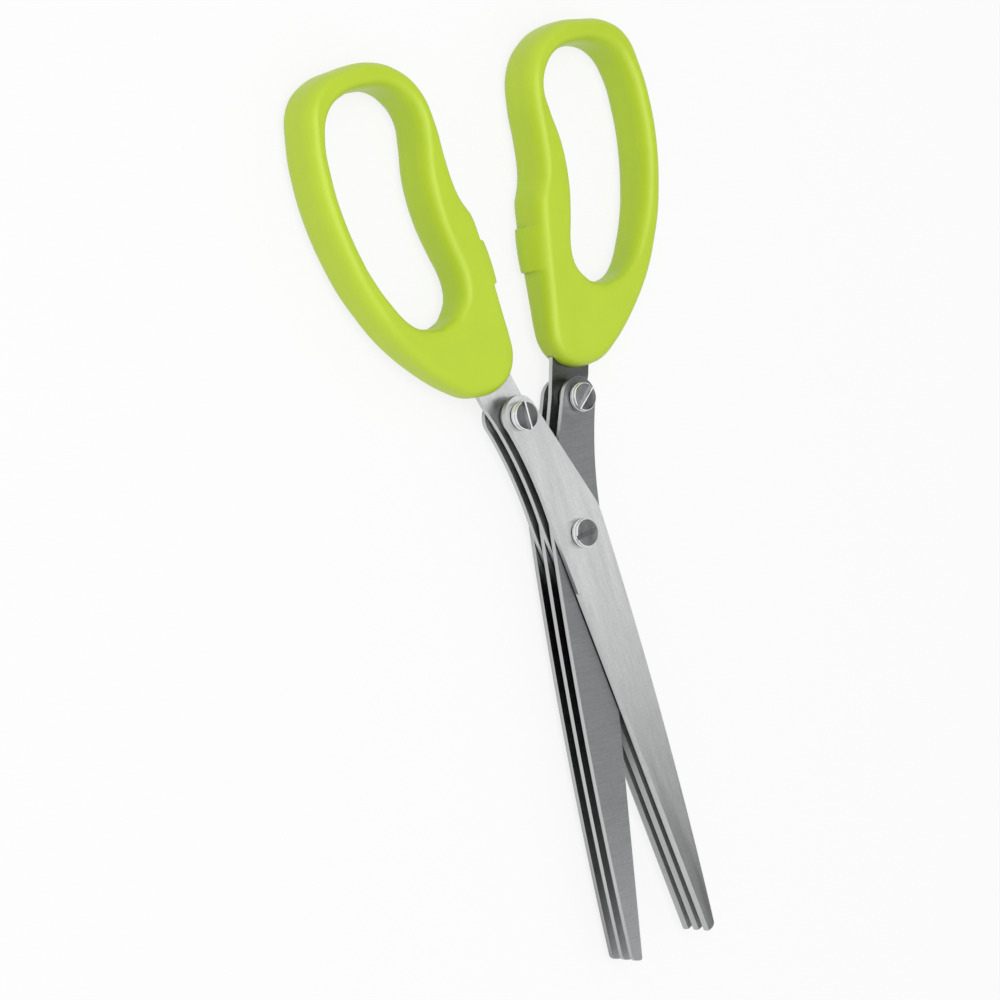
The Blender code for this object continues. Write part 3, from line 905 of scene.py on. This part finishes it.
def plastic_material(settings):
    """Satin moulded plastic with a fine spark texture, faint smears and painted shade in its
    creases.
    """
    material, tree, shader = new_material("grip plastic", settings.roughness, 0)
    place = object_place(tree)
    marks = group_node(tree, handling_group(), {"Vector": place, "Size": 70})
    colour = tinted(tree, settings.colour, marks["Smears"], 0.975, 1.02)
    grain = bumped(tree, noise(tree, place, 2600, 2, 0.5), 0.02 * MM, 0.35)
    waves = noise(tree, place, 140, 1, 0.4)
    set_inputs(tree, shader, {
        "IOR": 1.48,
        "Specular IOR Level": 0.42,
        "Base Color": with_painted_shade(tree, colour, 0.5, 1.6 * MM, 0.95),
        "Roughness": remapped(tree, marks["Smears"], 0, 1,
                              settings.roughness - 0.03, settings.roughness + 0.05),
        "Normal": bumped(tree, waves, 0.12 * MM, 0.25, grain)})
    return material


def ground_material(name, colour, stretch, roughness, contrast, painted_shade_reach, clear=0.5,
                    spread=0, spread_turn=0, painted_tip_light=1, painted_tang_light=1):
    """Steel with grinding lines, whose gloss spreads across the lines, with painted reflection
    along the blade and painted shade in crevices.
    """
    material, tree, shader = new_material(name, roughness, 1)
    if spread:
        tangent = tree.nodes.new("ShaderNodeTangent")
        tangent.direction_type = "UV_MAP"
        tangent.uv_map = "grain"
        set_inputs(tree, shader, {"Anisotropic": spread, "Anisotropic Rotation": spread_turn,
                                  "Tangent": tangent.outputs["Tangent"]})
    lie = tree.nodes.new("ShaderNodeAttribute")
    lie.attribute_name = "blade_place"
    place = lie.outputs["Vector"]
    lines = group_node(tree, grind_group(), {"Vector": place, "Stretch": stretch})
    lined = remapped(tree, weighted(tree, lines["Fine"], lines["Mottle"], 0.6), 0.3, 0.7, 0, 1)
    tone = tinted(tree, colour, lined, 1 - contrast, 1 + contrast)
    along = new_node(tree, "SeparateXYZ", {"Vector": place}).outputs["Y"]
    painted_tip_shift = remapped(tree, along, PAINTED_TIP_START, -BLADE_REACH, 1, painted_tip_light)
    painted_tang_shift = remapped(tree, along, PAINTED_TANG_START, PAINTED_TANG_END, 1, painted_tang_light)
    scaled = new_node(tree, "VectorMath", {0: tone})
    scaled.operation = "SCALE"
    set_inputs(tree, scaled, {"Scale": computed(tree, "MULTIPLY", painted_tip_shift, painted_tang_shift)})
    limit = remapped(tree, along, PAINTED_TIP_START, -BLADE_REACH, clear, clear + TIP_CLEAR_GAIN)
    set_inputs(tree, shader, {
        "Base Color": with_painted_shade(tree, scaled.outputs[0], 0.95, painted_shade_reach, limit),
        "Roughness": remapped(tree, lines["Broad"], 0.3, 0.7,
                              roughness - 0.05, roughness + 0.07),
        "Normal": bumped(tree, lines["Fine"], 0.006 * MM, 0.5)})
    return material


def worn_material(name, colour, roughness):
    """The worn face of a screw head: grey mottle crossed by fine scratches."""
    material, tree, shader = new_material(name, roughness, 1)
    place = object_place(tree)
    lines = group_node(tree, grind_group(), {"Vector": place, "Stretch": (900, 120, 160)})
    blots = noise(tree, place, 420, 4, 0.65)
    mottled = remapped(tree, weighted(tree, lines["Broad"], blots, 0.4), 0.36, 0.64, 0, 1)
    set_inputs(tree, shader, {
        "Base Color": tinted(tree, colour, mottled, 0.76, 1.24),
        "Roughness": remapped(tree, blots, 0.3, 0.7, roughness - 0.06, roughness + 0.12),
        "Normal": bumped(tree, lines["Fine"], 0.012 * MM, 0.6)})
    return material


def turned_material(name, colour, roughness):
    """Plated steel with faint smears and specks, and painted shade in its grooves and where it
    meets other parts.
    """
    material, tree, shader = new_material(name, roughness, 1)
    marks = group_node(tree, handling_group(), {"Vector": object_place(tree), "Size": 420})
    tone = tinted(tree, colour, marks["Smears"], 0.86, 1.06)
    set_inputs(tree, shader, {
        "Base Color": with_painted_shade(tree, tone, 0.85, 0.5 * MM),
        "Roughness": remapped(tree, marks["Smears"], 0, 1, roughness, roughness + 0.12),
        "Normal": bumped(tree, marks["Specks"], 0.01 * MM, 0.3)})
    return material


def seen_share(tree):
    """1 where the camera looks, straight or through gloss and glass, else 0."""
    rays = tree.nodes.new("ShaderNodeLightPath").outputs
    bright = computed(tree, "MAXIMUM", rays["Is Glossy Ray"], rays["Is Transmission Ray"])
    return computed(tree, "MAXIMUM", rays["Is Camera Ray"], bright)


def turn_to_glow(tree, shader, share, level, exit_node):
    """Sends a shader to the exit, mixed with a white glow by the share."""
    glow = new_node(tree, "Emission", {"Strength": level}).outputs["Emission"]
    mix = new_node(tree, "MixShader", {"Fac": share, 1: shader.outputs["BSDF"], 2: glow})
    set_inputs(tree, exit_node, {"Surface": mix.outputs["Shader"]})


def floor_material(colour):
    """A pale matt floor that is bright to the camera and keeps a soft shadow."""
    material, tree, shader = new_material("studio floor", 0.9, 0)
    set_inputs(tree, shader, {"Base Color": colour, "Specular IOR Level": 0})
    share = computed(tree, "MULTIPLY", seen_share(tree), FLOOR_GLOW)
    turn_to_glow(tree, shader, share, 1, tree.nodes["Material Output"])
    return material


def card_material(name, size, level, fade_width):
    """Grey in the middle and clear at the borders."""
    material = bpy.data.materials.new(name)
    material.use_nodes = True
    tree = material.node_tree
    tree.nodes.clear()
    parts = new_node(tree, "SeparateXYZ", {"Vector": object_place(tree)})
    shares = []
    for axis, length in zip("XY", size):
        out = computed(tree, "ABSOLUTE", parts.outputs[axis])
        shares.append(remapped(tree, out, length / 2 - fade_width, length / 2,
                               1, 0, "SMOOTHSTEP"))
    share = computed(tree, "MULTIPLY", *shares)
    clear = tree.nodes.new("ShaderNodeBsdfTransparent")
    turn_to_glow(tree, clear, share, level, tree.nodes.new("ShaderNodeOutputMaterial"))
    return material


# Studio

FLOOR_HALF_SIDE = 1.5
FLOOR_LEVEL = -0.05 * MM
FLOOR_GLOW = 0.82
KEY_PLACE = (-0.35, 0.12, 0.85)
KEY_SIZE = 0.8
SHEEN_PLACE = (-0.42, 0.0, 0.85)
SHEEN_AIM = (0, 0.08, 0)
SHEEN_SIZE = 1.5
CARD_HEIGHT = 0.55
# Each card's name, its lowest and highest corner, and the width of its faded border.
CARDS = (
    ("card_back", (-0.03, -0.035), (0.88, 0.62), 0.12),
    ("card_front", (-0.30, -0.50), (1.12, -0.14), 0.09),
)
CAMERA_LENS = 114.083
CAMERA_PLACE = Matrix((
    (0.74505, 0.24709, -0.61955, -0.46264),
    (-0.22599, 0.96743, 0.11406, 0.09453),
    (0.62756, 0.05503, 0.77662, 0.56467),
    (0, 0, 0, 1)))


def area_lamp(name, place, aim, size, power):
    lamp = bpy.data.lights.new(name, "AREA")
    lamp.shape = "DISK"
    lamp.size = size
    lamp.energy = power
    holder = new_object(name, lamp)
    holder.location = place
    holder.rotation_euler = (Vector(aim) - Vector(place)).to_track_quat("-Z", "Y").to_euler()
    return holder


def flat_grid(name, half_side, material):
    """A square sheet of the stage."""
    shell = bmesh.new()
    bmesh.ops.create_grid(shell, x_segments=1, y_segments=1, size=half_side)
    sheet = new_object(name, to_mesh(shell, name))
    sheet.data.materials.append(material)
    return sheet


def reflector_card(name, low, high, level, fade):
    """A grey card with faded borders, overhead, that only mirror-like steel sees."""
    size = (high[0] - low[0], high[1] - low[1])
    card = flat_grid(name, 0.5, card_material(name, size, level, fade))
    card.data.transform(Matrix.Diagonal((size[0], size[1], 1, 1)))
    card.location = ((low[0] + high[0]) / 2, (low[1] + high[1]) / 2, CARD_HEIGHT)
    for ray in ("camera", "diffuse", "transmission", "shadow"):
        setattr(card, "visible_" + ray, False)


def hang_lamps(settings):
    """The key lamp that gives no gloss, and the lamp that only glosses the grips."""
    key = area_lamp("key", KEY_PLACE, (0, 0, 0), KEY_SIZE, settings.key_power)
    key.visible_glossy = False
    sheen = area_lamp("sheen", SHEEN_PLACE, SHEEN_AIM, SHEEN_SIZE, settings.sheen_power)
    sheen.visible_diffuse = False
    lit = bpy.data.collections.new("sheen_grips")
    for side in SIDES:
        lit.objects.link(bpy.data.objects["grip_" + side])
    sheen.light_linking.receiver_collection = lit


def light_world(scene, strength):
    """A white world, at full strength only where the camera sees it."""
    world = bpy.data.worlds.new("studio_world")
    scene.world = world
    world.use_nodes = True
    tree = world.node_tree
    level = remapped(tree, seen_share(tree), 0, 1, strength, 1.0)
    set_inputs(tree, tree.nodes["Background"], {"Color": (1, 1, 1, 1), "Strength": level})


def set_camera(scene):
    """The camera at the photograph's viewing angle."""
    view = bpy.data.cameras.new("photo_camera")
    view.sensor_width = 36
    view.lens = CAMERA_LENS
    view.clip_start = 0.01
    view.clip_end = 10
    scene.camera = new_object("photo_camera", view)
    scene.camera.matrix_world = CAMERA_PLACE


# Operators

class GripsOperator(bpy.types.Operator):
    """Model both moulded grips and put them over their nodes"""

    bl_idname = "scissors.grips"
    bl_label = "Grips"

    def execute(self, context):
        settings = context.scene.scissors.grip
        plastic = plastic_material(settings)
        mesh = grip_mesh(settings)
        for side in SIDES:
            node = "handle_" + side
            place = half_place(side, middle_level(node))
            finished("grip_" + side, mesh.copy(), place, [plastic],
                     body_of(side), node)
        return {"FINISHED"}


class BladesOperator(bpy.types.Operator):
    """Model the six blades, ground along outside and across inside"""

    bl_idname = "scissors.blades"
    bl_label = "Blades"

    def execute(self, context):
        settings = context.scene.scissors.blade
        outer = ground_material("blade outer face", settings.outer_colour, **OUTER_FINISH)
        inner = ground_material("blade inner face", settings.inner_colour, **INNER_FINISH)
        edge = ground_material("blade edge", settings.edge_colour, **EDGE_FINISH)
        meshes = {True: blade_mesh(settings, True), False: blade_mesh(settings, False)}
        for side in SIDES:
            for row in ROWS:
                node = "blade_%s_%s" % (side, row)
                mesh = meshes[row == "middle"].copy()
                place = half_place(side, middle_level(node))
                finished("steel_" + node, mesh, place, [outer, inner, edge],
                         body_of(side), node)
        return {"FINISHED"}


# Each screw's kind and side, the ending of its names, how far its slot is turned
# in degrees, and the painted light on its face and on its slot's floor: below 1 paints shade,
# above 1 paints light.
SCREWS = (
    ("pivot", "right", "", 8.1, 1.0, 0.6),
    ("tang", "left", "_left", 86.0, 0.62, 1.9),
    ("tang", "right", "_right", 44.0, 1.0, 1.6),
)
SCREW_ROUGHNESS = 0.10
FACE_ROUGHNESS = 0.30
SLOT_ROUGHNESS = 0.34
RING_ROUGHNESS = 0.38
SHANK_GAP = 0.2 * MM


class FastenersOperator(bpy.types.Operator):
    """Model the slotted screws and their sleeve nuts"""

    bl_idname = "scissors.fasteners"
    bl_label = "Screws and nuts"

    def execute(self, context):
        settings = context.scene.scissors.fastener
        metal = turned_material("screw metal", settings.side_colour, SCREW_ROUGHNESS)
        for kind, side, ending, slot_degrees, painted_face_light, painted_slot_light in SCREWS:
            axis = Matrix.Identity(4) if kind == "pivot" else tang_axis(side)
            # The face and slot tones paint light and shade, screw by screw, onto one worn steel.
            face = [channel * painted_face_light for channel in settings.face_colour[:3]]
            worn = worn_material("screw face metal" + ending, face, FACE_ROUGHNESS)
            painted_slot_colour = [channel * painted_slot_light for channel in face]
            slot = worn_material("screw slot metal" + ending, painted_slot_colour, SLOT_ROUGHNESS)
            screw = "%s_screw%s" % (kind, ending)
            nut = "%s_nut%s" % (kind, ending)
            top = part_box(screw)[1].z
            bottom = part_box(nut)[0].z
            barrel = (top - HEAD_HEIGHT) - (bottom + NUT_HEIGHT) - SHANK_GAP
            mesh = screw_mesh(settings, barrel, math.radians(slot_degrees), kind == "pivot")
            place = axis @ Matrix.Translation((0, 0, top - HEAD_HEIGHT))
            finished("turned_" + screw, mesh, place, [metal, worn, slot],
                     body_of(side), screw)
            mesh = nut_mesh(settings, barrel)
            place = axis @ Matrix.Translation((0, 0, bottom + NUT_HEIGHT))
            finished("turned_" + nut, mesh, place, [metal], body_of(side), nut)
        return {"FINISHED"}


class RingsOperator(bpy.types.Operator):
    """Model the pivot washers and the tang spacers"""

    bl_idname = "scissors.rings"
    bl_label = "Washers and spacers"

    def execute(self, context):
        settings = context.scene.scissors.fastener
        metal = turned_material("washer metal", settings.washer_colour, RING_ROUGHNESS)
        rings = (("pivot_washer_", "right", Matrix.Identity(4)),
                 ("tang_spacer_left_", "left", tang_axis("left")),
                 ("tang_spacer_right_", "right", tang_axis("right")))
        for row in ("rear", "front"):
            for start, side, axis in rings:
                node = start + row
                place = axis @ Matrix.Translation((0, 0, middle_level(node)))
                finished("turned_" + node, ring_mesh(settings, node), place, [metal],
                         body_of(side), node)
        return {"FINISHED"}


class StudioOperator(bpy.types.Operator):
    """Set the pale floor, the soft lamps, the world and the camera"""

    bl_idname = "scissors.studio"
    bl_label = "Studio"

    def execute(self, context):
        settings = context.scene.scissors.studio
        floor = flat_grid("studio_floor", FLOOR_HALF_SIDE,
                          floor_material(settings.floor_colour))
        floor.location.z = FLOOR_LEVEL
        hang_lamps(settings)
        for name, low, high, fade in CARDS:
            reflector_card(name, low, high, settings.card_level, fade)
        light_world(context.scene, settings.world_strength)
        set_camera(context.scene)
        context.scene.view_settings.view_transform = "Standard"
        return {"FINISHED"}


class ScissorsPanel(bpy.types.Panel):
    """Lists the pieces of the herb scissors with their sizes and colours"""

    bl_idname = "VIEW3D_PT_scissors"
    bl_label = "Herb Scissors"
    bl_space_type = "VIEW_3D"
    bl_region_type = "UI"
    bl_category = "Scissors"

    def draw(self, context):
        settings = context.scene.scissors
        groups = (
            (settings.grip, (GripsOperator,)),
            (settings.blade, (BladesOperator,)),
            (settings.fastener, (FastenersOperator, RingsOperator)),
            (settings.studio, (StudioOperator,)),
        )
        for group, operators in groups:
            box = self.layout.box()
            for name in group.__annotations__:
                box.prop(group, name)
            for operator in operators:
                box.operator(operator.bl_idname)


CLASSES = (
    GripSettings, BladeSettings, FastenerSettings, StudioSettings, ScissorsSettings,
    GripsOperator, BladesOperator, FastenersOperator, RingsOperator, StudioOperator,
    ScissorsPanel,
)


def register():
    for cls in CLASSES:
        bpy.utils.register_class(cls)
    bpy.types.Scene.scissors = PointerProperty(type=ScissorsSettings)


def unregister():
    del bpy.types.Scene.scissors
    for cls in reversed(CLASSES):
        bpy.utils.unregister_class(cls)


def main():
    register()
    bpy.ops.scissors.grips()
    bpy.ops.scissors.blades()
    bpy.ops.scissors.fasteners()
    bpy.ops.scissors.rings()
    bpy.ops.scissors.studio()


if __name__ == "__main__":
    main()
